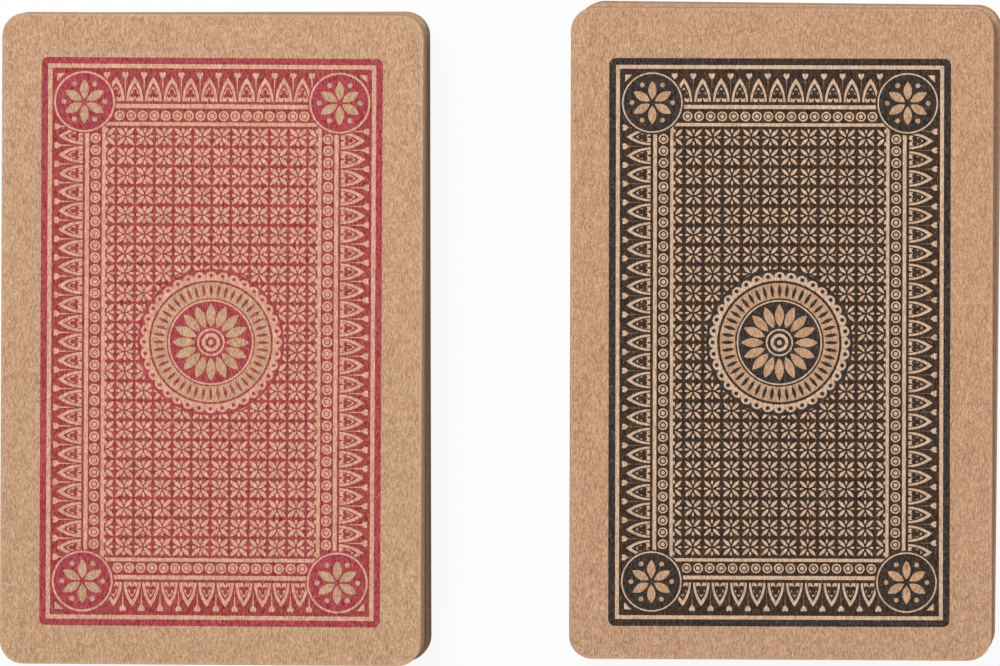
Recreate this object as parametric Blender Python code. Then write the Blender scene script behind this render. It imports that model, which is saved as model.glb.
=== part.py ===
"""Double deck of playing cards: two decks lying side by side, with their backs up.

Each deck is a lower packet with single cards stacked on it. The lowest single card is
where the deck is cut, the cards above it open as a fan about one corner, and the top
card is dealt off. Units are metres, +X to the right, +Y away from the viewer, +Z up.
"""

import math
import random

import bmesh
import bpy
from mathutils import Vector

# One card, of the metric bridge size
CARD_WIDTH = 0.057
CARD_LENGTH = 0.088
CARD_THICKNESS = 0.00029
CORNER_RADIUS = 0.0032
CORNER_SEGMENTS = 5

# One deck: the packet at the bottom is one solid, and the rest are single cards
DECK_CARDS = 54
PACKET_CARDS = 25
CARD_CLEARANCE = 0.00002
GROOVE_DEPTH = 0.00025

# The two decks on the table
DECK_SEPARATION = 0.02002
BLACK_DECK_ADVANCE = 0.00084
FAN_PIVOT_INSET = 0.010

# The decks aren't quite square: the drift of each stretch of cards to the right and
# away from the viewer, in metres, and its turn in degrees, seen from above
RED_DRIFT = {
    "packet": (0.00035, 0.0, 0.14),
    "lower": (0.00003, 0.0, -0.2),
    "upper": (0.0, 0.0, -0.26),
}
BLACK_DRIFT = {
    "packet": (0.0005, 0.00045, -0.55),
    "lower": (0.00047, 0.00042, -0.52),
    "upper": (0.0, 0.0, -0.17),
}
LOWER_SINGLE_CARDS = 10
CARD_SLIP = 0.00005
CARD_TWIST = 0.04

# Uncoated brown card stock, a little darker in the black deck
RED_DECK_STOCK = (0.565, 0.342, 0.205)
BLACK_DECK_STOCK = (0.539, 0.319, 0.191)
STOCK_ROUGHNESS = 0.85

# Values that follow from the sizes above
CARD_PITCH = CARD_THICKNESS + CARD_CLEARANCE
PACKET_HEIGHT = PACKET_CARDS * CARD_PITCH - CARD_CLEARANCE
SINGLE_CARDS = DECK_CARDS - PACKET_CARDS
DECK_PITCH = CARD_WIDTH + DECK_SEPARATION


def remove_existing_objects():
    for thing in list(bpy.data.objects):
        bpy.data.objects.remove(thing, do_unlink=True)


def make_collection(name):
    collection = bpy.data.collections.new(name)
    bpy.context.scene.collection.children.link(collection)
    return collection


def make_stock(name, colour):
    """Plain card stock, which is matt and not metallic."""
    stock = bpy.data.materials.new(name)
    stock.use_nodes = True
    shader = stock.node_tree.nodes["Principled BSDF"]
    shader.inputs["Base Color"].default_value = (*colour, 1.0)
    shader.inputs["Roughness"].default_value = STOCK_ROUGHNESS
    shader.inputs["Metallic"].default_value = 0.0
    return stock


def rounded_slab(height):
    """A slab with the outline of a card, standing on its own origin."""
    slab = bmesh.new()
    bmesh.ops.create_cube(slab, size=1.0)
    bmesh.ops.translate(slab, verts=slab.verts, vec=(0.0, 0.0, 0.5))
    bmesh.ops.scale(slab, verts=slab.verts, vec=(CARD_WIDTH, CARD_LENGTH, height))
    upright = [e for e in slab.edges if abs(e.verts[0].co.z - e.verts[1].co.z) > height / 2]
    bmesh.ops.bevel(
        slab,
        geom=upright,
        offset=CORNER_RADIUS,
        segments=CORNER_SEGMENTS,
        profile=0.5,
        affect="EDGES",
    )
    return slab


def cut_packet_grooves(slab):
    """Cuts the fine grooves between the edges of the packet's cards, all round the slab."""
    for card in range(1, PACKET_CARDS):
        top_of_groove = card * CARD_PITCH
        for level in (top_of_groove - CARD_CLEARANCE, top_of_groove):
            bmesh.ops.bisect_plane(
                slab,
                geom=[*slab.verts, *slab.edges, *slab.faces],
                dist=CARD_CLEARANCE / 100,
                plane_co=(0.0, 0.0, level),
                plane_no=(0.0, 0.0, 1.0),
            )
    walls = [f for f in slab.faces if abs(f.normal.z) < 0.5]
    groove_walls = [f for f in walls if f.calc_center_median().z % CARD_PITCH > CARD_THICKNESS]
    bmesh.ops.inset_region(slab, faces=groove_walls, thickness=0.0, depth=-GROOVE_DEPTH)


def finish_mesh(slab, name, stock):
    slab.normal_update()
    mesh = bpy.data.meshes.new(name)
    slab.to_mesh(mesh)
    slab.free()
    mesh.materials.append(stock)
    mesh.shade_smooth()
    mesh.set_sharp_from_angle(angle=math.radians(30.0))
    return mesh


def make_card_mesh(name, stock):
    return finish_mesh(rounded_slab(CARD_THICKNESS), name, stock)


def make_packet_mesh(name, stock):
    slab = rounded_slab(PACKET_HEIGHT)
    slab.normal_update()
    cut_packet_grooves(slab)
    return finish_mesh(slab, name, stock)


def add_empty(name, collection, parent, location):
    empty = bpy.data.objects.new(name, None)
    collection.objects.link(empty)
    empty.parent = parent
    empty.location = location
    return empty


def add_solid(name, mesh, collection, parent, location, turn):
    """Places a piece by the middle of its underside, turned about the vertical."""
    solid = bpy.data.objects.new(name, mesh)
    collection.objects.link(solid)
    solid.parent = parent
    solid.location = location
    solid.rotation_euler.z = math.radians(turn)
    return solid


def single_card_name(deck_name, number):
    if number == 0:
        return f"{deck_name}_cut_card"
    if number == SINGLE_CARDS - 1:
        return f"{deck_name}_top_card"
    return f"{deck_name}_fan_card_{number:02d}"


def single_card_place(drift, number, looseness):
    """The location and turn of a single card, counted from the packet up."""
    right, away, turn = drift["lower" if number < LOWER_SINGLE_CARDS else "upper"]
    right += looseness.uniform(-CARD_SLIP, CARD_SLIP)
    away += looseness.uniform(-CARD_SLIP, CARD_SLIP)
    turn += looseness.uniform(-CARD_TWIST, CARD_TWIST)
    height = PACKET_HEIGHT + CARD_CLEARANCE + number * CARD_PITCH
    return Vector((right, away, height)), turn


def build_deck(name, collection, table, side, advance, drift, colour):
    """One deck, on the left where side is -1 and on the right where it is 1. Its fan opens outwards."""
    stock = make_stock(f"{name}_deck_stock", colour)
    deck = add_empty(f"{name}_deck", collection, table, (side * DECK_PITCH / 2, advance, 0.0))

    right, away, turn = drift["packet"]
    packet = make_packet_mesh(f"{name}_packet", stock)
    add_solid(f"{name}_lower_packet", packet, collection, deck, (right, away, 0.0), turn)

    # The fan turns about a point near the corner that faces the other deck and the viewer
    pivot_x = -side * (CARD_WIDTH / 2 - FAN_PIVOT_INSET)
    pivot_y = FAN_PIVOT_INSET - CARD_LENGTH / 2
    pivot = add_empty(f"{name}_fan_pivot", collection, deck, (pivot_x, pivot_y, 0.0))

    card = make_card_mesh(f"{name}_card", stock)
    looseness = random.Random(name)
    for number in range(SINGLE_CARDS):
        place, turn = single_card_place(drift, number, looseness)
        parent = pivot if 0 < number < SINGLE_CARDS - 1 else deck
        if parent is pivot:
            place -= pivot.location
        add_solid(single_card_name(name, number), card, collection, parent, place, turn)


def centre_on_origin(table, collection):
    """Moves the whole set so that the middle of its box lies over the origin, on the table."""
    bpy.context.view_layer.update()
    solids = [thing for thing in collection.objects if thing.type == "MESH"]
    corners = [solid.matrix_world @ vert.co for solid in solids for vert in solid.data.vertices]
    for axis in range(2):
        values = [corner[axis] for corner in corners]
        table.location[axis] -= (min(values) + max(values)) / 2
    bpy.context.view_layer.update()


def build_double_deck():
    remove_existing_objects()
    collection = make_collection("double_deck_of_playing_cards")
    table = add_empty("double_deck", collection, None, (0.0, 0.0, 0.0))
    build_deck("red", collection, table, -1, 0.0, RED_DRIFT, RED_DECK_STOCK)
    build_deck("black", collection, table, 1, BLACK_DECK_ADVANCE, BLACK_DRIFT, BLACK_DECK_STOCK)
    centre_on_origin(table, collection)


build_double_deck()
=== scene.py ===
"""Looks of the double deck of playing cards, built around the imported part.

Each single card of the part gets a printed card in its place, and each lower packet gets
a stack of separate cards. The ornament on the backs is cut into the mesh itself, so that
ink and bare stock are faces of their own.
"""

import math
import random

import bpy
import numpy as np
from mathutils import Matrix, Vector
from mathutils.geometry import delaunay_2d_cdt


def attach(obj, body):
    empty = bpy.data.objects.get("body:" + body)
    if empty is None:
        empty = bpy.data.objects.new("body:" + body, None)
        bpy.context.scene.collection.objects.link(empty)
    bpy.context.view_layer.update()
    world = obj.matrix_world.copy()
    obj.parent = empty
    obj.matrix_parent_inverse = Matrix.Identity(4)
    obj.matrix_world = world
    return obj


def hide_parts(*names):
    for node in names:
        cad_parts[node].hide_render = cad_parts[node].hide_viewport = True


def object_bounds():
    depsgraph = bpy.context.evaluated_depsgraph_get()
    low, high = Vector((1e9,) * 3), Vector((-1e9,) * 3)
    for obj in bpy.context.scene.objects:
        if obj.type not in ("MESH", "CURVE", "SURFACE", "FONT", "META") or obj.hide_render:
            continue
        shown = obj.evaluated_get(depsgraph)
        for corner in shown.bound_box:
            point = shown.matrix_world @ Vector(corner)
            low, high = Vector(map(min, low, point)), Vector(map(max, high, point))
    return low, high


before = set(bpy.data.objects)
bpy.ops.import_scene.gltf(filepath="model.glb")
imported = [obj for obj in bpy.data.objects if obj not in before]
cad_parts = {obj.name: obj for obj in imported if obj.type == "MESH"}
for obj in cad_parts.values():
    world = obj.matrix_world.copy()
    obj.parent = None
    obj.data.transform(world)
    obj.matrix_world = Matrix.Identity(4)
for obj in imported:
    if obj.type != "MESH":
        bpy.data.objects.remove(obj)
cad_low, cad_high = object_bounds()

MILLIMETRES = 1000.0
METRES = 1.0 / MILLIMETRES

# The materials of a card's faces: bare stock, ink, the cut edge, and stock and ink in the fine
# parts of the print
STOCK, INK, EDGE, FINE_STOCK, FINE_INK = range(5)
INKS = (INK, FINE_INK)

# The cards, in millimetres. Their width, length and thickness come from the part.
CORNER_RADIUS = 3.2
CORNER_STEPS = 12
EDGE_BEVEL = 0.035
RIM_WIDTH = 0.35
PACKET_CARDS = 25
PACKET_SLIP = 0.05
PACKET_TWIST = 0.04

# The printed back, in millimetres. Depths are counted inwards from the edge of the print.
PRINT_HALF_WIDTH = 23.03
PRINT_HALF_HEIGHT = 38.43
PRINT_CORNER = 0.85
PRINT_CORNER_STEPS = 6
FRAME_LINE = 0.85
FRAME_GAP = 0.60

# The border along the sides and the one along the ends are drawn at slightly different depths
SIDE_BORDER = {
    "finial": 1.73,
    "tip": 2.29,
    "foot": 5.60,
    "outer_rule": (5.90, 6.47),
    "beads": 7.32,
    "inner_rule": (8.19, 8.70),
    "arch_pitch": 2.532,
    "arches": 25,
    "bead_pitch": 1.615,
    "bead_count": 35,
}
END_BORDER = {
    "finial": 1.96,
    "tip": 2.59,
    "foot": 5.90,
    "outer_rule": (6.25, 6.85),
    "beads": 7.83,
    "inner_rule": (8.69, 9.21),
    "arch_pitch": 2.519,
    "arches": 13,
    "bead_pitch": 1.56,
    "bead_count": 17,
}
ARCH_HALF_WIDTH = 1.16
ARCH_LINE = 0.37
ARCH_HAIRLINE = 0.04
ARCH_INNER_HEIGHTS = (0.75, 0.61)
TREFOIL_TOP = (0.52, 1.66)
TREFOIL_TOP_WIDTH = 0.54
TREFOIL_LEAF = 0.24
TREFOIL_LEAF_PLACE = (0.36, 0.76)
TREFOIL_FOOT = (0.32, 0.56)
FINIAL_LENGTH = 0.94
FINIAL_LOBE_PLACE = 0.28
FINIAL_LOBE_WIDTH = 0.52
STEM_WIDTH = 0.33
STEM_RISE = 0.65

# Ink runs this many times as far into the finest detail as elsewhere
FINE_DETAIL_RUN = 3.4

# How far arches and beads are moved along the far, left, near and right border, going anticlockwise
ARCH_SHIFTS = (-0.38, -0.07, 0.41, 0.50)
BEAD_SHIFTS = (0.0, 0.07, 0.0, -0.12)

# Finials stand between the arches, but these borders miss as many before the last arch
MISSING_FINIALS = (0, 0, 1, 1)

BEAD_RADIUS = 0.70
BEAD_LINE = 0.28
BEAD_DOT = 0.32

# The roundels in the corners and the medallion in the middle
ROUNDEL_INSET = (5.79, 5.99)
ROUNDEL_RADIUS = 4.13
ROUNDEL_LINE = 0.28
ROUNDEL_GAP = 0.16
ROUNDEL_PETALS = 6
ROUNDEL_PETAL_REACH = (0.35, 3.0)
ROUNDEL_PETAL_WIDTH = 1.2
ROUNDEL_DOT_PLACE = 2.75
ROUNDEL_DOT = 0.36
SPANDREL_INSET = (2.08, 2.17)
SPANDREL_SIZE = 1.1
MEDALLION_RADIUS = 9.6
MEDALLION_GAP = 0.30
MEDALLION_CLEARING = 9.0
SCALLOPS = 36
SCALLOP_RADIUS = 0.82
SCALLOP_DOT = 0.24
RAYS = 44
RAY_REACH = (6.2, 7.85)
RAY_WIDTH = 0.42
MEDALLION_PETALS = 16
MEDALLION_PETAL_REACH = (2.05, 5.25)
MEDALLION_PETAL_WIDTH = 1.28

# Rings of the medallion by radius and material, from the rim inwards
RAY_BAND = ((8.36, INK), (8.10, STOCK))
PETAL_BAND = ((5.95, INK), (5.80, FINE_STOCK), (5.52, INK))
MIDDLE_BAND = ((1.88, FINE_STOCK), (1.58, INK), (1.24, FINE_STOCK), (0.74, INK), (0.36, FINE_STOCK))

# The field of flowers
FLOWER_COLUMNS = 12
FLOWER_ROWS = 22
FLOWER_EDGE_INSETS = (0.10, 0.14)
PETAL_REACH = (0.09, 1.71)
PETAL_WIDTH = 0.61
SMALL_PETAL_REACH = (0.45, 1.16)
SMALL_PETAL_WIDTH = 0.48

# The print of each deck: its offset on the card in millimetres, its turn in degrees, its stretch
# across and along the card, and how far ink has run over the edge of every shape, in millimetres
PRINTS = {
    "red": {"offset": (-0.07, -0.33), "turn": -0.03, "stretch": (1.002, 1.0), "spread": 0.013},
    "black": {"offset": (-0.25, -1.14), "turn": 0.04, "stretch": (1.0, 0.9975), "spread": 0.042},
}

# Corners sharper than this don't run out any further when a shape swells
SHARPEST_CORNER = 0.3

# How finely curves are cut: the top cards, which are seen best, and the others
TOP_CARD_STEPS = 6
OTHER_CARD_STEPS = 3

# Sides of round shapes, and steps of long petals, to each of those steps
SMALL_DOT_SIDES = 3
DOT_SIDES = 4
ROUNDEL_SIDES = 14
ROUNDEL_PETAL_STEPS = 3
MEDALLION_SIDES = 24
MEDALLION_MIDDLE_SIDES = 12
MEDALLION_PETAL_STEPS = 2

# How the backs are cut: shapes whose points lie this close share them, and all triangles are kept
CUT_TOLERANCE = 1e-5
CUT_KEEPS_ALL = 0
SHARP_ANGLE = 25.0

# Colours, linear
STOCK_COLOURS = {"red": (0.565, 0.342, 0.205), "black": (0.539, 0.319, 0.191)}
INK_COLOURS = {"red": (0.385, 0.055, 0.070), "black": (0.033, 0.023, 0.018)}
EDGE_COLOURS = {"red": (0.500, 0.340, 0.225), "black": (0.480, 0.320, 0.215)}

# In the fine parts of the print the stock looks paler, with ink close by on all sides, and the
# ink looks browner
FINE_STOCK_COLOURS = {"red": (0.695, 0.378, 0.259), "black": (0.640, 0.435, 0.298)}
FINE_INK_COLOURS = {"red": (0.348, 0.055, 0.056), "black": (0.038, 0.020, 0.0105)}

# Noise, with the stretch in features to the millimetre along each axis of a card
LONG_FIBRES = {"stretch": (6.0, 1.45, 1.0), "detail": 1.0, "roughness": 0.55, "distortion": 0.7}
FINE_FIBRES = {"stretch": (9.5, 4.2, 1.0), "detail": 1.0, "roughness": 0.55, "distortion": 0.9}
DARK_HAIRS = {"stretch": (6.5, 1.1, 1.0), "detail": 1.0, "distortion": 1.2}
CLOUDS = {"stretch": (0.38, 0.30, 0.3)}
INK_PORES = {"stretch": (5.5, 4.0, 1.0), "detail": 0.0}
EDGE_FIBRES = {"stretch": (1.6, 1.6, 9.0), "roughness": 0.65}

# The values of noise between which its effect grows from none to all
FIBRE_RANGE = (0.33, 0.67)
CLOUD_RANGE = (0.36, 0.64)
HAIR_RANGE = (0.60, 0.72)
THIN_INK_RANGE = (0.60, 0.72)
PORE_RANGE = (0.74, 0.84)
EDGE_RANGE = (0.35, 0.65)
ROUGHNESS_RANGE = (0.3, 0.7)
FRAY_RANGE = (0.4, 0.6)

# Shares of what lies over a base colour, where it is strongest
CLOUD_SHARE = 0.25
HAIR_SHARE = 0.50
THIN_INK_SHARE = 0.30
PORE_SHARE = 0.40

# Small bits in the stock: cells to the millimetre, their size in a cell, and for the dark and the
# pale bits the chance that leaves a cell empty, the share and the tone
SPECK_CELLS = 0.55
SPECK_SIZE = (0.04, 0.09)
DARK_SPECKS = {"empty": 0.72, "share": 0.5, "tone": 0.45}
PALE_SPECKS = {"empty": 0.93, "share": 0.45, "tone": 1.5}

# Wear and a painted highlight along the rim: its share, its tone, and how far fibres fray it, in
# millimetres
RIM_HIGHLIGHT_AND_WEAR = 0.3
RIM_TONE = 1.35
RIM_FRAY = 0.12

# Tones of the cut edges: along the grain, and the darkest cards with their share
EDGE_TONES = (0.78, 1.12)
DARK_EDGE_TONE = 0.55
DARK_EDGE_SHARE = 0.30

# The sheen of each surface: its roughness over the grain, its level of reflection, and the strength
# and depth of its relief, which is in metres
STOCK_SHEEN = {"roughness": (0.92, 0.72), "level": 0.25, "relief": (0.35, 0.00004)}
INK_SHEEN = {"roughness": (0.74, 0.60), "level": 0.15, "relief": (0.30, 0.00003)}
EDGE_SHEEN = {"roughness": (0.95, 0.78), "level": 0.15, "relief": (0.4, 0.00005)}

# Steps of tone from the mean of a colour to its dark parts, on values raised to one over the power
SEEN_POWER = 2.2
STOCK_GRAIN = 0.18
STOCK_CLOUDS = 0.045
STOCK_HAIRS = 0.20
INK_GRAIN = 0.15

# The name of the number kept with each face, by which cards of one mesh differ
CHANCE = "card_chance"
CHANCE_SHIFT = 170.0

# Places on the square map that the materials are baked through: corner, then size
STOCK_PATCH = (0.01, 0.23, 0.48, 0.76)
INK_PATCH = (0.51, 0.23, 0.48, 0.76)
UNDERSIDE_PATCH = (0.01, 0.01, 0.32, 0.20)
EDGE_PATCH = (0.35, 0.01, 0.64, 0.20)
BAKE_MAP = "OFBake"

# The edge's patch has a row for every card, with a margin, and levels down the edge from its upper rim
EDGE_ROW_TOP = 0.9
EDGE_ROW_HEIGHT = 0.8
EDGE_LEVELS = (0.0, 0.2, 0.8, 1.0)

# Sockets of the mix node that take and give colours
MIX_FIRST = 6
MIX_SECOND = 7
MIX_RESULT = 2

# Longer than anything on a card, in millimetres
FAR_AWAY = 1000.0

# The camera stands over the cards, a little to the right
CAMERA_DISTANCE = 2.6
CAMERA_LEAN = (2.55, 1.9)
CAMERA_AIM = (0.0002, 0.00026)
VIEW_WIDTH = 0.1351
SENSOR_WIDTH = 36.0

# The light: a soft lamp over the far side, a weak one from the right, a low one from the near side,
# and an even surround
KEY_LAMP = {"place": (-0.12, 0.22, 0.66), "size": 0.20, "power": 3.2}
FILL_LAMP = {"place": (0.76, 0.11, 0.30), "size": 0.30, "power": 2.9}
LOW_LAMP = {"place": (-0.50, -0.70, 0.12), "size": 0.30, "power": 1.2}
AMBIENT_LIGHT = 0.20
FLOOR_HALF_SIZE = 3.0
FLOOR_HEIGHT = -0.00002
FLOOR_WHITENESS = 0.92
FLOOR_COLOUR = (0.5, 0.5, 0.5, 1.0)
WHITE = (1.0, 1.0, 1.0, 1.0)


# Flat shapes, in millimetres, each an array of points in order

def turned(points, angle):
    """The points turned anticlockwise about the origin."""
    cosine = math.cos(angle)
    sine = math.sin(angle)
    return np.asarray(points) @ np.array(((cosine, sine), (-sine, cosine)))


def circle(centre, radius, sides):
    angles = np.linspace(0.0, 2.0 * math.pi, sides, endpoint=False)
    return np.asarray(centre) + radius * np.column_stack((np.cos(angles), np.sin(angles)))


def rectangle(half_width, half_height):
    corners = ((-1, -1), (1, -1), (1, 1), (-1, 1))
    return np.array(corners, dtype=float) * (half_width, half_height)


def rounded_rectangle(half_width, half_height, radius, steps):
    """A rectangle with round corners, anticlockwise from the right end of its lower side."""
    points = []
    for quarter, (x_side, y_side) in enumerate(((1, -1), (1, 1), (-1, 1), (-1, -1))):
        middle = (x_side * (half_width - radius), y_side * (half_height - radius))
        for angle in np.linspace(quarter - 1, quarter, steps + 1) * (math.pi / 2.0):
            points.append((middle[0] + radius * math.cos(angle), middle[1] + radius * math.sin(angle)))
    return np.array(points)


def between(start, end, along, half_widths):
    """A shape about the line from start to end, with a half width at each fraction along it."""
    start = np.asarray(start, dtype=float)
    run = np.asarray(end, dtype=float) - start
    across = np.array((-run[1], run[0])) / np.hypot(*run)
    spine = start + np.outer(along, run)
    offsets = np.outer(half_widths, across)
    return np.vstack((spine - offsets, (spine + offsets)[-2:0:-1]))


def lens(start, end, width, steps):
    """A petal that is pointed at both ends."""
    along = np.linspace(0.0, 1.0, steps + 1)
    return between(start, end, along, width / 2.0 * 4.0 * along * (1.0 - along))


def drop(point, end, width, steps):
    """A petal that is pointed at its first end and round at the other."""
    along = np.sin(np.linspace(0.0, math.pi / 2.0, steps + 1))
    widest = 2.0 / 3.0 * math.sqrt(1.0 / 3.0)
    return between(point, end, along, width / 2.0 * along * np.sqrt(1.0 - along) / widest)


def spike(foot, tip, width):
    """A narrow triangle on the middle of its foot."""
    return between(foot, tip, (0.0, 0.0, 1.0), (0.0, width / 2.0, 0.0))[1:]


def lancet(foot, tip, half_width, steps):
    """A pointed arch on the middle of its foot, with two arcs that meet at the tip."""
    height = math.dist(foot, tip)
    reach = (height ** 2 - half_width ** 2) / (2.0 * half_width)
    radius = reach + half_width
    angles = np.linspace(0.0, math.atan2(height, reach), steps + 1)
    along = np.sin(angles) * radius / height
    half_widths = np.cos(angles) * radius - reach
    points = between(foot, tip, (0.0, *along), (0.0, *half_widths))
    return points[1:]


def swollen(points, amount):
    """The outline moved outwards, or inwards where the amount is negative."""
    ahead = np.roll(points, -1, axis=0)
    run = (ahead - points) / np.hypot(*(ahead - points).T)[:, None]
    turning = np.sign(np.sum(points[:, 0] * ahead[:, 1] - ahead[:, 0] * points[:, 1]))
    outward = np.column_stack((run[:, 1], -run[:, 0])) * turning
    before = np.roll(outward, 1, axis=0)
    sharpness = np.maximum(1.0 + np.sum(outward * before, axis=1), SHARPEST_CORNER)
    return points + amount * (outward + before) / sharpness[:, None]


# The ornament, as shapes in the order in which they are painted, each with its material

def frame_lines():
    outer = (PRINT_HALF_WIDTH, PRINT_HALF_HEIGHT)
    inset = FRAME_LINE + FRAME_GAP
    return [
        (rounded_rectangle(*outer, PRINT_CORNER, PRINT_CORNER_STEPS), INK),
        (rectangle(PRINT_HALF_WIDTH - FRAME_LINE, PRINT_HALF_HEIGHT - FRAME_LINE), FINE_STOCK),
        (rectangle(PRINT_HALF_WIDTH - inset, PRINT_HALF_HEIGHT - inset), FINE_INK),
    ]


def flower(centre, cell, cut_side, run, steps):
    """Four long petals towards the corners of the cell, and four short ones between them.

    A flower on the edge of the field has no petals towards its cut side, which is -1 or 1.
    Ink runs into their sides and into the tips of the long ones.
    """
    reach = PETAL_REACH[1] - run
    shapes = []
    for x_side, y_side in ((1, 1), (-1, 1), (-1, -1), (1, -1)):
        if x_side != cut_side:
            way = np.array((x_side * cell[0], y_side * cell[1])) / np.hypot(*cell)
            start = centre + PETAL_REACH[0] * way
            shapes.append((lens(start, centre + reach * way, PETAL_WIDTH - run, steps), FINE_STOCK))
    for way in np.array(((1.0, 0.0), (0.0, 1.0), (-1.0, 0.0), (0.0, -1.0))):
        if cut_side == 0 or way[0] != cut_side:
            start = centre + SMALL_PETAL_REACH[0] * way
            end = centre + SMALL_PETAL_REACH[1] * way
            shapes.append((drop(start, end, SMALL_PETAL_WIDTH - run, steps), FINE_STOCK))
    return shapes


def flower_field(half_width, half_height, run, steps):
    """Rows of flowers, with halves of flowers along the two sides."""
    cell = (
        2.0 * (half_width - FLOWER_EDGE_INSETS[0]) / (FLOWER_COLUMNS - 1),
        2.0 * (half_height - FLOWER_EDGE_INSETS[1]) / FLOWER_ROWS,
    )
    cut_sides = {0: -1, FLOWER_COLUMNS - 1: 1}
    shapes = []
    for row in range(FLOWER_ROWS):
        for column in range(FLOWER_COLUMNS):
            x = (column - (FLOWER_COLUMNS - 1) / 2.0) * cell[0]
            y = (row - (FLOWER_ROWS - 1) / 2.0) * cell[1]
            if math.hypot(x, y) > MEDALLION_CLEARING:
                shapes += flower(np.array((x, y)), cell, cut_sides.get(column, 0), run, steps)
    return shapes


def arch(foot, tip, run, steps):
    """A pointed arch with a trefoil in it, whose leaves swell as fine detail runs."""
    foot = np.asarray(foot)
    up = (np.asarray(tip) - foot) / math.dist(foot, tip)
    side = np.array((-up[1], up[0]))
    inner = ARCH_HALF_WIDTH - ARCH_LINE
    inner_tip, lining_tip = (foot + share * math.dist(foot, tip) * up for share in ARCH_INNER_HEIGHTS)
    top_leaf = (foot + height * up for height in TREFOIL_TOP)
    leaf_side, leaf_height = TREFOIL_LEAF_PLACE
    leaves = [foot + leaf_height * up + way * leaf_side * side for way in (-1, 1)]
    leaf_radius = TREFOIL_LEAF + run / 2.0
    foot_width, foot_height = TREFOIL_FOOT
    return [
        (lancet(foot, tip, ARCH_HALF_WIDTH, steps), FINE_STOCK),
        (lancet(foot, inner_tip, inner, steps), FINE_INK),
        (lancet(foot, lining_tip, inner - ARCH_HAIRLINE, steps), FINE_STOCK),
        (drop(*top_leaf, TREFOIL_TOP_WIDTH + run, steps), FINE_INK),
        *((circle(leaf, leaf_radius, SMALL_DOT_SIDES * steps), FINE_INK) for leaf in leaves),
        (spike(foot, foot + foot_height * up, foot_width), FINE_INK),
    ]


def finial(top, foot, run, steps):
    """A heart on a thin stem, which ends above the foot. Ink runs into the stem from both sides."""
    top = np.asarray(top)
    down = (np.asarray(foot) - top) / math.dist(top, foot)
    side = np.array((-down[1], down[0]))
    point = top + FINIAL_LENGTH * down
    lobes = [top + way * FINIAL_LOBE_PLACE * side for way in (-1, 1)]
    stem_end = foot - STEM_RISE * down
    return [
        (spike(top + FINIAL_LENGTH / 2.0 * down, stem_end, STEM_WIDTH - 2.0 * run), FINE_STOCK),
        *((drop(point, lobe, FINIAL_LOBE_WIDTH, steps), FINE_STOCK) for lobe in lobes),
    ]


def bead(centre, steps):
    sides = DOT_SIDES * steps
    return [
        (circle(centre, BEAD_RADIUS, sides), FINE_STOCK),
        (circle(centre, BEAD_RADIUS - BEAD_LINE, sides), FINE_INK),
        (circle(centre, BEAD_DOT, sides), FINE_STOCK),
    ]


def border(edge, plan, quarter, run, steps):
    """The arches and beads along one edge of the print, which lies at a distance from the middle."""
    shapes = []
    for number in range(1, plan["arches"] - MISSING_FINIALS[quarter]):
        along = (number - plan["arches"] / 2.0) * plan["arch_pitch"] + ARCH_SHIFTS[quarter]
        shapes += finial((along, edge - plan["finial"]), (along, edge - plan["foot"]), run, steps)
    for number in range(plan["arches"]):
        along = (number - (plan["arches"] - 1) / 2.0) * plan["arch_pitch"] + ARCH_SHIFTS[quarter]
        shapes += arch((along, edge - plan["foot"]), (along, edge - plan["tip"]), run, steps)
    for number in range(plan["bead_count"]):
        along = (number - (plan["bead_count"] - 1) / 2.0) * plan["bead_pitch"] + BEAD_SHIFTS[quarter]
        shapes += bead((along, edge - plan["beads"]), steps)
    return [(turned(points, quarter * math.pi / 2.0), material) for points, material in shapes]


def border_rules():
    """The two rules on each side of the beads, with ink between them and in the field."""
    shapes = []
    for kind in ("outer_rule", "inner_rule"):
        for depth, material in enumerate((FINE_STOCK, FINE_INK)):
            half_width = PRINT_HALF_WIDTH - SIDE_BORDER[kind][depth]
            half_height = PRINT_HALF_HEIGHT - END_BORDER[kind][depth]
            shapes.append((rectangle(half_width, half_height), material))
    return shapes


def ways(count, offset=0.0):
    """Directions all round, from straight up, or from a share of a step on."""
    angles = (np.arange(count) + offset) * (2.0 * math.pi / count) + math.pi / 2.0
    return np.column_stack((np.cos(angles), np.sin(angles)))


def rosette(centre, petals, reach, width, material, steps):
    spans = [(centre + reach[0] * way, centre + reach[1] * way) for way in ways(petals)]
    return [(lens(start, end, width, steps), material) for start, end in spans]


def rings(band, sides):
    return [(circle((0.0, 0.0), radius, sides), material) for radius, material in band]


def roundel(centre, corner, steps):
    """A ring with a rosette of six petals, and a small triangle in the corner behind it."""
    centre = np.asarray(centre)
    sides = ROUNDEL_SIDES * steps
    outward = np.sign(corner)
    tip = np.asarray(corner) - outward * SPANDREL_INSET
    spandrel = tip - outward * np.array(((0.0, 0.0), (SPANDREL_SIZE, 0.0), (0.0, SPANDREL_SIZE)))
    shapes = [
        (spandrel, FINE_STOCK),
        (circle(centre, ROUNDEL_RADIUS + ROUNDEL_GAP, sides), INK),
        (circle(centre, ROUNDEL_RADIUS, sides), FINE_STOCK),
        (circle(centre, ROUNDEL_RADIUS - ROUNDEL_LINE, sides), INK),
    ]
    petal_steps = ROUNDEL_PETAL_STEPS * steps
    shapes += rosette(centre, ROUNDEL_PETALS, ROUNDEL_PETAL_REACH, ROUNDEL_PETAL_WIDTH, STOCK, petal_steps)
    for way in ways(ROUNDEL_PETALS, 0.5):
        shapes.append((circle(centre + ROUNDEL_DOT_PLACE * way, ROUNDEL_DOT, DOT_SIDES * steps), STOCK))
    return shapes


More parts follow.
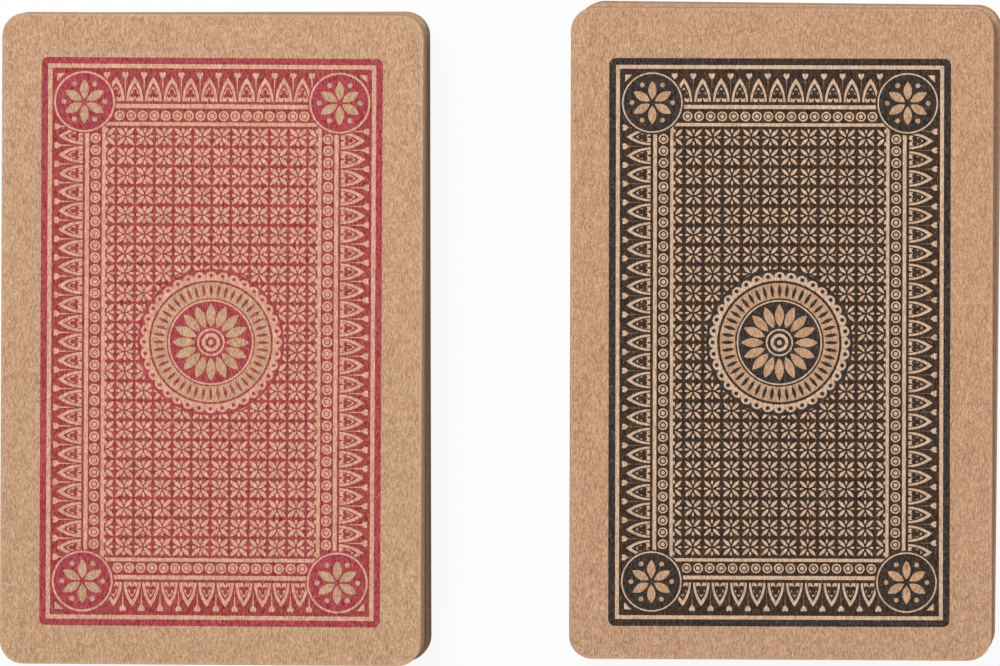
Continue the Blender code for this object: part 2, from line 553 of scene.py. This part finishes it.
def medallion(steps):
    """A round rosette with a scalloped rim, a band of rays and a flower of many petals."""
    sides = MEDALLION_SIDES * steps
    petal_steps = MEDALLION_PETAL_STEPS * steps
    middle = np.zeros(2)
    shapes = [(circle(middle, MEDALLION_RADIUS + MEDALLION_GAP, sides), INK)]
    for way in ways(SCALLOPS):
        scallop = (MEDALLION_RADIUS - SCALLOP_RADIUS) * way
        shapes.append((circle(scallop, SCALLOP_RADIUS, DOT_SIDES * steps), FINE_STOCK))
        shapes.append((circle(scallop + SCALLOP_DOT * way, SCALLOP_DOT, SMALL_DOT_SIDES * steps), INK))
    shapes += rings(RAY_BAND, sides)
    shapes += rosette(middle, RAYS, RAY_REACH, RAY_WIDTH, INK, steps)
    shapes += rings(PETAL_BAND, sides)
    shapes += rosette(
        middle, MEDALLION_PETALS, MEDALLION_PETAL_REACH, MEDALLION_PETAL_WIDTH, STOCK, petal_steps
    )
    return shapes + rings(MIDDLE_BAND, MEDALLION_MIDDLE_SIDES * steps)


def back_design(run, steps):
    """The whole ornament. Ink runs a distance into fine detail, and curves are cut into steps."""
    field_width = PRINT_HALF_WIDTH - SIDE_BORDER["inner_rule"][1]
    field_height = PRINT_HALF_HEIGHT - END_BORDER["inner_rule"][1]
    shapes = frame_lines() + border_rules()
    shapes += flower_field(field_width, field_height, run, steps)
    edges = ((PRINT_HALF_HEIGHT, END_BORDER), (PRINT_HALF_WIDTH, SIDE_BORDER))
    for quarter in range(4):
        edge, plan = edges[quarter % 2]
        shapes += border(edge, plan, quarter, run, steps)
    for x_side in (-1, 1):
        for y_side in (-1, 1):
            corner = (x_side * PRINT_HALF_WIDTH, y_side * PRINT_HALF_HEIGHT)
            centre = np.array(corner) - np.array(ROUNDEL_INSET) * (x_side, y_side)
            shapes += roundel(centre, corner, steps)
    return shapes + medallion(steps)


def inside(points, polygon):
    """Which of the points lie in the polygon."""
    x, y = points[:, 0], points[:, 1]
    within = np.zeros(len(points), dtype=bool)
    for (x1, y1), (x2, y2) in zip(polygon, np.roll(polygon, -1, axis=0)):
        if y1 != y2:
            crosses = (y1 > y) != (y2 > y)
            within ^= crosses & (x < (x2 - x1) * (y - y1) / (y2 - y1) + x1)
    return within


def cut_back(outline, shapes):
    """Cuts the outline into triangles along the shapes. Gives points, triangles and their materials."""
    polygons = [outline] + [points for points, _ in shapes]
    edges = []
    first = 0
    for polygon in polygons:
        count = len(polygon)
        edges += [(first + i, first + (i + 1) % count) for i in range(count)]
        first += count
    flat = [Vector(point) for point in np.vstack(polygons)]
    found = delaunay_2d_cdt(flat, edges, [], CUT_KEEPS_ALL, CUT_TOLERANCE, True)
    points = np.array([tuple(point) for point in found[0]])
    triangles = np.array(found[2])
    position = {source: number for number, sources in enumerate(found[3]) for source in sources}
    rim = [position[number] for number in range(len(outline))]
    middles = points[triangles].mean(axis=1)
    materials = np.full(len(triangles), STOCK)
    for polygon, material in shapes:
        low = polygon.min(axis=0)
        high = polygon.max(axis=0)
        near = np.flatnonzero(((middles >= low) & (middles <= high)).all(axis=1))
        hit = near[inside(middles[near], polygon)]
        materials[hit] = material
    return {"points": points, "faces": triangles.tolist(), "materials": materials.tolist(), "rim": rim}


def plain_back(outline):
    count = len(outline)
    face = list(range(count))
    return {"points": outline, "faces": [face], "materials": [STOCK], "rim": face}


# Card meshes

def patch(place, across, up):
    """A point of the bake map, from fractions across and up a patch of it."""
    return (place[0] + place[2] * across, place[1] + place[3] * up)


class CardStack:
    """Gathers cards into one mesh, each a closed shell with its back up."""

    def __init__(self, size, rows):
        self.size = size
        self.rows = rows
        self.points = []
        self.faces = []
        self.materials = []
        self.chances = []
        self.map = []

    def add_face(self, corners, material, places):
        self.faces.append(corners)
        self.materials.append(material)
        self.map += places

    def add_card(self, back, row, place=(0.0, 0.0, 0.0), turn=0.0):
        """Adds a card in millimetres. Its edge takes one of the rows of the edge's patch."""
        width, length, thickness = self.size
        inner = back["points"]
        rim = inner[back["rim"]]
        scale = 1.0 + 2.0 * EDGE_BEVEL / np.array((width - 2.0 * EDGE_BEVEL, length - 2.0 * EDGE_BEVEL))
        outer = rim * scale
        rings = [(outer, thickness - EDGE_BEVEL), (outer, EDGE_BEVEL), (rim, 0.0)]
        levels = [(inner, thickness)] + rings
        start = len(self.points)
        for flat, height in levels:
            moved = turned(flat, turn) + place[:2]
            self.points += [(x, y, place[2] + height) for x, y in moved.tolist()]
        fractions = (inner / np.array((width, length)) + 0.5).tolist()
        for face, material in zip(back["faces"], back["materials"]):
            target = INK_PATCH if material in INKS else STOCK_PATCH
            places = [patch(target, *fractions[corner]) for corner in face]
            self.add_face([start + corner for corner in face], material, places)
        self.add_edge(back, start, len(inner), rim, row)
        self.chances += [row / self.rows] * (len(self.faces) - len(self.chances))

    def add_edge(self, back, start, inner_count, rim, row):
        """The bevels and the wall around a card, and its underside."""
        count = len(rim)
        steps = np.hypot(*(np.roll(rim, -1, axis=0) - rim).T)
        around = np.concatenate(((0.0,), np.cumsum(steps))) / steps.sum()
        first_ring = start + inner_count
        ring_starts = [first_ring + ring * count for ring in range(3)]
        upper = [start + number for number in back["rim"]]
        rows = [upper] + [list(range(first, first + count)) for first in ring_starts]
        heights = ((row + EDGE_ROW_TOP - EDGE_ROW_HEIGHT * np.array(EDGE_LEVELS)) / self.rows).tolist()
        for high, low, top, bottom in zip(rows, rows[1:], heights, heights[1:]):
            for i in range(count):
                j = (i + 1) % count
                here, there = around[i], around[i + 1]
                places = [(here, top), (here, bottom), (there, bottom), (there, top)]
                corners = [high[i], low[i], low[j], high[j]]
                self.add_face(corners, EDGE, [patch(EDGE_PATCH, *each) for each in places])
        underside = rows[-1][::-1]
        fractions = (rim[::-1] / np.array(self.size[:2]) + 0.5).tolist()
        self.add_face(underside, STOCK, [patch(UNDERSIDE_PATCH, up, across) for across, up in fractions])

    def mesh(self, name, materials):
        mesh = bpy.data.meshes.new(name)
        mesh.from_pydata((np.array(self.points) * METRES).tolist(), [], self.faces)
        for material in materials:
            mesh.materials.append(material)
        mesh.polygons.foreach_set("material_index", self.materials)
        mesh.attributes.new(CHANCE, "FLOAT", "FACE").data.foreach_set("value", self.chances)
        bake_map = mesh.uv_layers.new(name=BAKE_MAP)
        bake_map.data.foreach_set("uv", np.array(self.map).ravel())
        mesh.shade_smooth()
        mesh.set_sharp_from_angle(angle=math.radians(SHARP_ANGLE))
        mesh.update()
        return mesh


# Materials

class Surface:
    """A material whose nodes are added one by one."""

    def __init__(self, name):
        self.material = bpy.data.materials.new(name)
        self.material.use_nodes = True
        self.tree = self.material.node_tree
        self.shader = self.tree.nodes["Principled BSDF"]

    def add(self, kind, inputs=None, **settings):
        """Adds a node. An input is a value, or the output of another node."""
        node = self.tree.nodes.new(kind)
        for name, value in settings.items():
            setattr(node, name, value)
        for name, value in (inputs or {}).items():
            self.put(node.inputs[name], value)
        return node

    def put(self, socket, value):
        if isinstance(value, bpy.types.NodeSocket):
            self.tree.links.new(value, socket)
        else:
            socket.default_value = value

    def math(self, operation, first, second):
        return self.add("ShaderNodeMath", {0: first, 1: second}, operation=operation).outputs[0]

    def vector(self, operation, first, second):
        return self.add("ShaderNodeVectorMath", {0: first, 1: second}, operation=operation).outputs[0]

    def remap(self, value, old_range, new_low, new_high):
        """Goes smoothly from a new low to a new high value while the given one crosses its range."""
        inputs = {"Value": value, "To Min": new_low, "To Max": new_high}
        inputs["From Min"], inputs["From Max"] = old_range
        return self.add("ShaderNodeMapRange", inputs, interpolation_type="SMOOTHSTEP").outputs[0]

    def mix(self, factor, first, second):
        inputs = {"Factor": factor, MIX_FIRST: first, MIX_SECOND: second}
        return self.add("ShaderNodeMix", inputs, data_type="RGBA").outputs[MIX_RESULT]

    def noise(self, place, stretch, detail=3.0, roughness=0.6, distortion=0.0):
        """Noise with a number of features to the millimetre along each axis."""
        inputs = {"Vector": self.vector("MULTIPLY", place, stretch), "Scale": 1.0}
        inputs |= {"Detail": detail, "Roughness": roughness, "Distortion": distortion}
        return self.add("ShaderNodeTexNoise", inputs).outputs["Fac"]

    def card_chance(self):
        """A number from 0 to 1 that differs from card to card, also in a packet."""
        own = self.add("ShaderNodeObjectInfo").outputs["Random"]
        within = self.add("ShaderNodeAttribute", attribute_name=CHANCE).outputs["Fac"]
        return self.add("ShaderNodeMath", {0: self.math("ADD", own, within)}, operation="FRACT").outputs[0]

    def card_place(self):
        """The place on the card in millimetres, from the middle of its underside."""
        place = self.add("ShaderNodeTexCoord").outputs["Object"]
        scaled = self.add("ShaderNodeVectorMath", {0: place, "Scale": MILLIMETRES}, operation="SCALE")
        return scaled.outputs[0]

    def shifted(self, place, chance):
        """The place moved along by another amount for every card, so that no two are alike."""
        shift = self.math("MULTIPLY", chance, CHANCE_SHIFT)
        offset = self.add("ShaderNodeCombineXYZ", {"X": shift, "Y": shift}).outputs[0]
        return self.vector("ADD", place, offset)

    def rim_distance(self, place, size):
        """How far a place lies within the rounded outline of a card, in millimetres."""
        apart = self.add("ShaderNodeVectorMath", {0: place}, operation="ABSOLUTE").outputs[0]
        corner = (size[0] / 2.0 - CORNER_RADIUS, size[1] / 2.0 - CORNER_RADIUS, FAR_AWAY)
        past = self.vector("SUBTRACT", apart, corner)
        axes = self.add("ShaderNodeSeparateXYZ", {0: past}).outputs
        beyond = self.vector("MAXIMUM", past, (0.0, 0.0, 0.0))
        round_part = self.add("ShaderNodeVectorMath", {0: beyond}, operation="LENGTH").outputs["Value"]
        straight_part = self.math("MINIMUM", self.math("MAXIMUM", axes["X"], axes["Y"]), 0.0)
        return self.math("SUBTRACT", CORNER_RADIUS, self.math("ADD", round_part, straight_part))

    def colour(self, value):
        self.put(self.shader.inputs["Base Color"], value)

    def sheen(self, grain, roughness, level, relief):
        """Gives the surface its roughness, reflection and relief, which follow its grain."""
        strength, depth = relief
        inputs = {"Height": grain, "Strength": strength, "Distance": depth}
        self.put(self.shader.inputs["Roughness"], self.remap(grain, ROUGHNESS_RANGE, *roughness))
        self.shader.inputs["Specular IOR Level"].default_value = level
        self.put(self.shader.inputs["Normal"], self.add("ShaderNodeBump", inputs).outputs[0])


def shade(colour, factor):
    return (*(min(1.0, channel * factor) for channel in colour), 1.0)


def lighter(colour, amount):
    """The colour made paler by an equal step of every channel as seen, or darker by a step below 0."""
    return (*(max(0.0, channel ** (1.0 / SEEN_POWER) + amount) ** SEEN_POWER for channel in colour), 1.0)


def tones(colour, step):
    """A tone that is darker by the step, and a paler one, so that the colour is the mean of the two."""
    darker = lighter(colour, -step)
    paler = (2.0 * channel - dark for channel, dark in zip(colour, darker))
    return darker, (*paler, 1.0)


def add_fibres(surface, place):
    """The short wavy fibres of brown card stock, mostly along the card's length."""
    long_fibres = surface.noise(place, **LONG_FIBRES)
    fine_fibres = surface.noise(place, **FINE_FIBRES)
    return surface.math("MULTIPLY", surface.math("ADD", long_fibres, fine_fibres), 0.5)


def specks_over(surface, below, near, chance, colour, specks):
    """Bits of a tone of the colour in some of the cells, over what lies below."""
    chosen = surface.math("GREATER_THAN", chance, specks["empty"])
    share = surface.math("MULTIPLY", surface.math("MULTIPLY", near, chosen), specks["share"])
    return surface.mix(share, below, shade(colour, specks["tone"]))


def add_specks(surface, place, colour, below):
    """Small dark and pale bits in the stock."""
    cells = surface.add("ShaderNodeTexVoronoi", {"Vector": place, "Scale": SPECK_CELLS})
    near = surface.remap(cells.outputs["Distance"], SPECK_SIZE, 1.0, 0.0)
    chances = surface.add("ShaderNodeSeparateColor", {"Color": cells.outputs["Color"]}).outputs
    specked = specks_over(surface, below, near, chances["Red"], colour, DARK_SPECKS)
    return specks_over(surface, specked, near, chances["Green"], colour, PALE_SPECKS)


def stock_colour(surface, place, fibres, colour):
    """Brown stock with fibres, cloudy patches, dark hairs and specks."""
    base = surface.mix(surface.remap(fibres, FIBRE_RANGE, 0.0, 1.0), *tones(colour, STOCK_GRAIN))
    clouds = surface.remap(surface.noise(place, **CLOUDS), CLOUD_RANGE, 0.0, 1.0)
    cloudy = surface.mix(CLOUD_SHARE, base, surface.mix(clouds, *tones(colour, STOCK_CLOUDS)))
    hairs = surface.remap(surface.noise(place, **DARK_HAIRS), HAIR_RANGE, 0.0, HAIR_SHARE)
    haired = surface.mix(hairs, cloudy, lighter(colour, -STOCK_HAIRS))
    return add_specks(surface, place, colour, haired)


def stock_material(name, colour, size):
    """Bare stock, a little paler along the rim of the card, from wear and a painted highlight."""
    surface = Surface(name)
    place = surface.card_place()
    own_place = surface.shifted(place, surface.card_chance())
    fibres = add_fibres(surface, own_place)
    fray = surface.remap(fibres, FRAY_RANGE, -RIM_FRAY, RIM_FRAY)
    ragged_rim_distance = surface.math("ADD", surface.rim_distance(place, size), fray)
    # Paler along the rim: partly wear, partly a painted highlight where the edge catches the light
    rim_glint_and_wear = surface.remap(ragged_rim_distance, (RIM_WIDTH / 3.0, RIM_WIDTH), RIM_HIGHLIGHT_AND_WEAR, 0.0)
    plain = stock_colour(surface, own_place, fibres, colour)
    surface.colour(surface.mix(rim_glint_and_wear, plain, shade(colour, RIM_TONE)))
    surface.sheen(fibres, **STOCK_SHEEN)
    return surface.material


def ink_material(name, colour, stock):
    """Matt ink that lets the fibres of the stock show as streaks and pinholes."""
    surface = Surface(name)
    place = surface.shifted(surface.card_place(), surface.card_chance())
    fibres = add_fibres(surface, place)
    base = surface.mix(surface.remap(fibres, FIBRE_RANGE, 0.0, 1.0), *tones(colour, INK_GRAIN))
    thin = surface.remap(fibres, THIN_INK_RANGE, 0.0, THIN_INK_SHARE)
    streaked = surface.mix(thin, base, (*stock, 1.0))
    pores = surface.remap(surface.noise(place, **INK_PORES), PORE_RANGE, 0.0, PORE_SHARE)
    surface.colour(surface.mix(pores, streaked, (*stock, 1.0)))
    surface.sheen(fibres, **INK_SHEEN)
    return surface.material


def edge_material(name, colour):
    """The cut edges: greyer than the faces, and different from card to card."""
    surface = Surface(name)
    chance = surface.card_chance()
    grain = surface.noise(surface.shifted(surface.card_place(), chance), **EDGE_FIBRES)
    dark, pale = (shade(colour, tone) for tone in EDGE_TONES)
    base = surface.mix(surface.remap(grain, EDGE_RANGE, 0.0, 1.0), dark, pale)
    own_tone = surface.remap(chance, (0.0, 1.0), 0.0, DARK_EDGE_SHARE)
    surface.colour(surface.mix(own_tone, base, shade(colour, DARK_EDGE_TONE)))
    surface.sheen(grain, **EDGE_SHEEN)
    return surface.material


# Cards in their places

def node_place(node):
    """The middle of a card's underside in metres, its turn, and its width, length and height."""
    points = np.array([tuple(vert.co) for vert in node.data.vertices])
    flat = points[:, :2] - (points[:, :2].min(axis=0) + points[:, :2].max(axis=0)) / 2.0
    _, directions = np.linalg.eigh(flat.T @ flat)
    long_way = directions[:, 1] * np.sign(directions[1, 1])
    turn = math.atan2(-long_way[0], long_way[1])
    own = turned(flat, -turn)
    width, length = own.max(axis=0) - own.min(axis=0)
    middle = (points[:, :2].min(axis=0) + points[:, :2].max(axis=0)) / 2.0
    low = points[:, 2].min()
    return (*middle, low), turn, (width, length, points[:, 2].max() - low)


def put_card(name, mesh, place, turn):
    card = bpy.data.objects.new(f"{name}_printed", mesh)
    bpy.context.scene.collection.objects.link(card)
    card.location = place
    card.rotation_euler.z = turn
    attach(card, name)
    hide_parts(name)


def deck_materials(deck, size):
    stock = STOCK_COLOURS[deck]
    return [
        stock_material(f"{deck}_kraft_stock", stock, size),
        ink_material(f"{deck}_ink", INK_COLOURS[deck], stock),
        edge_material(f"{deck}_cut_edge", EDGE_COLOURS[deck]),
        stock_material(f"{deck}_fine_stock", FINE_STOCK_COLOURS[deck], size),
        ink_material(f"{deck}_fine_ink", FINE_INK_COLOURS[deck], stock),
    ]


def printed_back(deck, outline, steps):
    plan = PRINTS[deck]
    spread = plan["spread"]
    shapes = []
    for points, material in back_design((FINE_DETAIL_RUN - 1.0) * spread, steps):
        stretched = swollen(points, spread if material in INKS else -spread) * plan["stretch"]
        shapes.append((turned(stretched, math.radians(plan["turn"])) + plan["offset"], material))
    return cut_back(outline, shapes)


def make_card(name, size, back, materials):
    card = CardStack(size, 1)
    card.add_card(back, 0)
    return card.mesh(name, materials)


def make_packet(name, size, height, back, outline, materials):
    """The lowest cards of a deck, not quite square. Only the uppermost has a printed back."""
    pitch = (height - size[2]) / (PACKET_CARDS - 1)
    packet = CardStack(size, PACKET_CARDS)
    looseness = random.Random(name)
    for number in range(PACKET_CARDS):
        slip = [looseness.uniform(-PACKET_SLIP, PACKET_SLIP) for _ in range(2)]
        twist = math.radians(looseness.uniform(-PACKET_TWIST, PACKET_TWIST))
        own_back = back if number == PACKET_CARDS - 1 else plain_back(outline)
        packet.add_card(own_back, number, (*slip, number * pitch), twist)
    return packet.mesh(name, materials)


def dress_deck(deck):
    packet_name = f"{deck}_lower_packet"
    top_name = f"{deck}_top_card"
    places = {name: node_place(node) for name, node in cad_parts.items() if name.startswith(deck)}
    size = np.array(places[top_name][2]) * MILLIMETRES
    packet_height = places[packet_name][2][2] * MILLIMETRES
    half_width, half_length = size[:2] / 2.0 - EDGE_BEVEL
    outline = rounded_rectangle(half_width, half_length, CORNER_RADIUS - EDGE_BEVEL, CORNER_STEPS)
    materials = deck_materials(deck, size)
    back = printed_back(deck, outline, OTHER_CARD_STEPS)
    fine_back = printed_back(deck, outline, TOP_CARD_STEPS)
    card_mesh = make_card(f"{deck}_card", size, back, materials)
    special = {
        top_name: make_card(f"{deck}_top", size, fine_back, materials),
        packet_name: make_packet(f"{deck}_packet", size, packet_height, back, outline, materials),
    }
    for name, (place, turn, _) in places.items():
        put_card(name, special.get(name, card_mesh), place, turn)


# The stage

def seen_by_camera(tree):
    """A factor that is 1 for what the camera sees, directly or by reflection, and else 0."""
    path = tree.nodes.new("ShaderNodeLightPath")
    seen = path.outputs["Is Camera Ray"]
    for name in ("Is Glossy Ray", "Is Transmission Ray"):
        either = tree.nodes.new("ShaderNodeMath")
        either.operation = "MAXIMUM"
        tree.links.new(seen, either.inputs[0])
        tree.links.new(path.outputs[name], either.inputs[1])
        seen = either.outputs[0]
    return seen


def diffuse_paint(tree, colour):
    paint = tree.nodes.new("ShaderNodeBsdfDiffuse")
    paint.inputs["Color"].default_value = colour
    return paint


def mix_shaders(tree, factor, first, second):
    """Mixes two shaders by a number, or by the output of a node."""
    mixed = tree.nodes.new("ShaderNodeMixShader")
    if isinstance(factor, bpy.types.NodeSocket):
        tree.links.new(factor, mixed.inputs["Fac"])
    else:
        mixed.inputs["Fac"].default_value = factor
    tree.links.new(first.outputs[0], mixed.inputs[1])
    tree.links.new(second.outputs[0], mixed.inputs[2])
    return mixed


def make_floor():
    """A grey floor that the camera sees as nearly white, with the shadow of the cards on it."""
    mesh = bpy.data.meshes.new("floor")
    corners = rectangle(FLOOR_HALF_SIZE, FLOOR_HALF_SIZE).tolist()
    mesh.from_pydata([(x, y, FLOOR_HEIGHT) for x, y in corners], [], [(0, 1, 2, 3)])
    floor = bpy.data.objects.new("floor", mesh)
    bpy.context.scene.collection.objects.link(floor)
    material = bpy.data.materials.new("white_floor")
    material.use_nodes = True
    tree = material.node_tree
    tree.nodes.remove(tree.nodes["Principled BSDF"])
    grey_paint = diffuse_paint(tree, FLOOR_COLOUR)
    white_paint = diffuse_paint(tree, WHITE)
    glow = tree.nodes.new("ShaderNodeEmission")
    glow.inputs["Strength"].default_value = 1.0
    white_floor = mix_shaders(tree, FLOOR_WHITENESS, white_paint, glow)
    floor_seen = mix_shaders(tree, seen_by_camera(tree), grey_paint, white_floor)
    tree.links.new(floor_seen.outputs[0], tree.nodes["Material Output"].inputs["Surface"])
    mesh.materials.append(material)


def make_world(ambient):
    world = bpy.data.worlds.new("studio")
    world.use_nodes = True
    bpy.context.scene.world = world
    tree = world.node_tree
    around = tree.nodes["Background"]
    around.inputs["Color"].default_value = WHITE
    around.inputs["Strength"].default_value = ambient
    white = tree.nodes.new("ShaderNodeBackground")
    white.inputs["Color"].default_value = WHITE
    white.inputs["Strength"].default_value = 1.0
    mixed = mix_shaders(tree, seen_by_camera(tree), around, white)
    tree.links.new(mixed.outputs[0], tree.nodes["World Output"].inputs["Surface"])


def add_lamp(name, place, size, power):
    data = bpy.data.lights.new(name, "AREA")
    data.shape = "DISK"
    data.size = size
    data.energy = power
    lamp = bpy.data.objects.new(name, data)
    bpy.context.scene.collection.objects.link(lamp)
    lamp.location = place
    lamp.rotation_euler = (-Vector(place)).to_track_quat("-Z", "Y").to_euler()
    lamp.visible_camera = False


def make_camera(top):
    data = bpy.data.cameras.new("camera")
    data.sensor_width = SENSOR_WIDTH
    data.lens = SENSOR_WIDTH * CAMERA_DISTANCE / VIEW_WIDTH
    data.clip_end = 10.0 * CAMERA_DISTANCE
    camera = bpy.data.objects.new("camera", data)
    bpy.context.scene.collection.objects.link(camera)
    right, away = (math.radians(lean) for lean in CAMERA_LEAN)
    way = Vector((math.cos(away) * math.sin(right), math.sin(away), math.cos(away) * math.cos(right)))
    camera.location = Vector((*CAMERA_AIM, top)) + way * CAMERA_DISTANCE
    camera.rotation_euler = (-away, right, 0.0)
    bpy.context.scene.camera = camera


bpy.context.scene.view_settings.view_transform = "Standard"
for deck in ("red", "black"):
    dress_deck(deck)
make_floor()
make_world(AMBIENT_LIGHT)
add_lamp("key", **KEY_LAMP)
add_lamp("fill", **FILL_LAMP)
add_lamp("low", **LOW_LAMP)
make_camera(cad_high.z)
